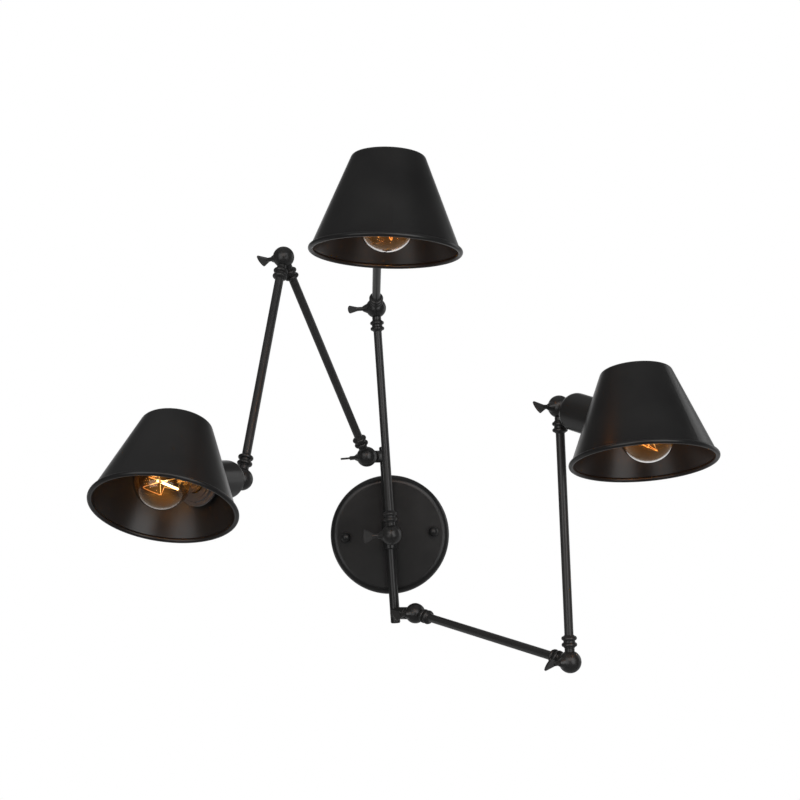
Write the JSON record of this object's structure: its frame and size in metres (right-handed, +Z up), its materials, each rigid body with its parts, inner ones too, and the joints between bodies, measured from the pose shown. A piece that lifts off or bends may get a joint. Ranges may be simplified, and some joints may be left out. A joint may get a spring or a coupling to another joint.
{
  "type": "adjustable wall lamp",
  "caption": "Adjustable wall lamp: round backplate and upright bar, jointed arms with ball knuckles and wing screws, conical shades on side lampholders with bulbs.",
  "frame": {"origin": "middle of the backplate's back edge on the wall, halfway between the two wall screws", "axes": "+Z up the upright bar, +X to the right when facing the wall, +Y into the wall; the lamp stands out to -Y"},
  "size_m": [0.653, 0.5462, 0.5549],
  "materials": {
    "black_paint": "satin black coating",
    "zinc_steel": "zinc plated",
    "black_plastic": "dark insulating plastic",
    "white_plastic": "white insulating plastic",
    "cap_metal": "rolled bulb cap",
    "amber_glass": "clear amber glass"
  },
  "bodies": {
    "root": {"wall_bracket": "zinc_steel", "bracket_studs": "zinc_steel", "terminal_block": "white_plastic", "backplate": "black_paint", "cap_nuts": "black_paint", "hub_nipple": "zinc_steel", "hub_locknut": "zinc_steel", "hub_collar": "black_paint", "main_bar": "black_paint", "bar_plugs": "black_paint", "top_root_knuckle": "black_paint", "left_root_knuckle": "black_paint", "right_root_knuckle": "black_paint"},
    "top_arm1": {"top_arm1_tube": "black_paint", "top_arm1_knuckles": "black_paint"},
    "top_arm2": {"top_arm2_tube": "black_paint", "top_arm2_knuckles": "black_paint"},
    "top_head": {"top_head_knuckle": "black_paint", "top_cup": "black_paint", "top_lampholder": "black_plastic", "top_shade_ring": "black_plastic", "top_shade": "black_paint", "top_shade_finial": "black_paint", "top_bulb_cap": "cap_metal", "top_bulb_glass": "amber_glass"},
    "top_root_wing": {"top_root_wing_screw": "black_paint"},
    "top_elbow_wing": {"top_elbow_wing_screw": "black_paint"},
    "top_head_wing": {"top_head_wing_screw": "black_paint"},
    "left_arm1": {"left_arm1_tube": "black_paint", "left_arm1_knuckles": "black_paint"},
    "left_arm2": {"left_arm2_tube": "black_paint", "left_arm2_knuckles": "black_paint"},
    "left_head": {"left_head_knuckle": "black_paint", "left_cup": "black_paint", "left_lampholder": "black_plastic", "left_shade_ring": "black_plastic", "left_shade": "black_paint", "left_shade_finial": "black_paint", "left_bulb_cap": "cap_metal", "left_bulb_glass": "amber_glass"},
    "left_root_wing": {"left_root_wing_screw": "black_paint"},
    "left_elbow_wing": {"left_elbow_wing_screw": "black_paint"},
    "left_head_wing": {"left_head_wing_screw": "black_paint"},
    "right_arm1": {"right_arm1_tube": "black_paint", "right_arm1_knuckles": "black_paint"},
    "right_arm2": {"right_arm2_tube": "black_paint", "right_arm2_knuckles": "black_paint"},
    "right_head": {"right_head_knuckle": "black_paint", "right_cup": "black_paint", "right_lampholder": "black_plastic", "right_shade_ring": "black_plastic", "right_shade": "black_paint", "right_shade_finial": "black_paint", "right_bulb_cap": "cap_metal", "right_bulb_glass": "amber_glass"},
    "right_root_wing": {"right_root_wing_screw": "black_paint"},
    "right_elbow_wing": {"right_elbow_wing_screw": "black_paint"},
    "right_head_wing": {"right_head_wing_screw": "black_paint"}
  },
  "joints": [
    {"name": "top_root_hinge", "type": "hinge", "parent": "root", "child": "top_arm1", "pos_m": [0.0027, -0.08493, 0], "axis": [-0.9985, -0.0541, 0], "range_deg": [-45, 3]},
    {"name": "top_elbow_hinge", "type": "hinge", "parent": "top_arm1", "child": "top_arm2", "pos_m": [0.0027, -0.08493, 0.28], "axis": [-0.9985, -0.0541, 0], "range_deg": [-40, 28]},
    {"name": "top_head_hinge", "type": "hinge", "parent": "top_arm2", "child": "top_head", "pos_m": [0.01699, -0.3488, 0.37254], "axis": [-0.9985, -0.0541, 0], "range_deg": [-40, 35]},
    {"name": "top_root_wing_turn", "type": "hinge", "parent": "top_arm1", "child": "top_root_wing", "pos_m": [0.0027, -0.08493, 0], "axis": [-0.9985, -0.0541, 0], "range_deg": [-90, 90]},
    {"name": "top_elbow_wing_turn", "type": "hinge", "parent": "top_arm2", "child": "top_elbow_wing", "pos_m": [0.0027, -0.08493, 0.28], "axis": [-0.9985, -0.0541, 0], "range_deg": [-90, 90]},
    {"name": "top_head_wing_turn", "type": "hinge", "parent": "top_head", "child": "top_head_wing", "pos_m": [0.01699, -0.3488, 0.37254], "axis": [-0.9985, -0.0541, 0], "range_deg": [-90, 90]},
    {"name": "left_root_hinge", "type": "hinge", "parent": "root", "child": "left_arm1", "pos_m": [-0.02134, -0.07123, 0.098], "axis": [-0.8616, 0.5075, 0], "range_deg": [-32, 10]},
    {"name": "left_elbow_hinge", "type": "hinge", "parent": "left_arm1", "child": "left_arm2", "pos_m": [-0.09957, -0.20404, 0.33176], "axis": [-0.8616, 0.5075, 0], "range_deg": [-1, 80]},
    {"name": "left_head_hinge", "type": "hinge", "parent": "left_arm2", "child": "left_head", "pos_m": [-0.1551, -0.2983, 0.07402], "axis": [-0.8616, 0.5075, 0], "range_deg": [-35, 40]},
    {"name": "left_root_wing_turn", "type": "hinge", "parent": "left_arm1", "child": "left_root_wing", "pos_m": [-0.02134, -0.07123, 0.098], "axis": [-0.8616, 0.5075, 0], "range_deg": [-90, 90]},
    {"name": "left_elbow_wing_turn", "type": "hinge", "parent": "left_arm2", "child": "left_elbow_wing", "pos_m": [-0.09957, -0.20404, 0.33176], "axis": [-0.8616, 0.5075, 0], "range_deg": [-90, 90]},
    {"name": "left_head_wing_turn", "type": "hinge", "parent": "left_head", "child": "left_head_wing", "pos_m": [-0.1551, -0.2983, 0.07402], "axis": [-0.8616, 0.5075, 0], "range_deg": [-90, 90]},
    {"name": "right_root_hinge", "type": "hinge", "parent": "root", "child": "right_arm1", "pos_m": [0.02531, -0.06858, -0.098], "axis": [-0.7986, -0.6018, 0], "range_deg": [-48, 12]},
    {"name": "right_elbow_hinge", "type": "hinge", "parent": "right_arm1", "child": "right_arm2", "pos_m": [0.19088, -0.28831, -0.14999], "axis": [-0.7986, -0.6018, 0], "range_deg": [-98, 22]},
    {"name": "right_head_hinge", "type": "hinge", "parent": "right_arm2", "child": "right_head", "pos_m": [0.19882, -0.29885, 0.1297], "axis": [-0.7986, -0.6018, 0], "range_deg": [-7, 80]},
    {"name": "right_root_wing_turn", "type": "hinge", "parent": "right_arm1", "child": "right_root_wing", "pos_m": [0.02531, -0.06858, -0.098], "axis": [-0.7986, -0.6018, 0], "range_deg": [-90, 90]},
    {"name": "right_elbow_wing_turn", "type": "hinge", "parent": "right_arm2", "child": "right_elbow_wing", "pos_m": [0.19088, -0.28831, -0.14999], "axis": [-0.7986, -0.6018, 0], "range_deg": [-90, 90]},
    {"name": "right_head_wing_turn", "type": "hinge", "parent": "right_head", "child": "right_head_wing", "pos_m": [0.19882, -0.29885, 0.1297], "axis": [-0.7986, -0.6018, 0], "range_deg": [-90, 90]}
  ]
}
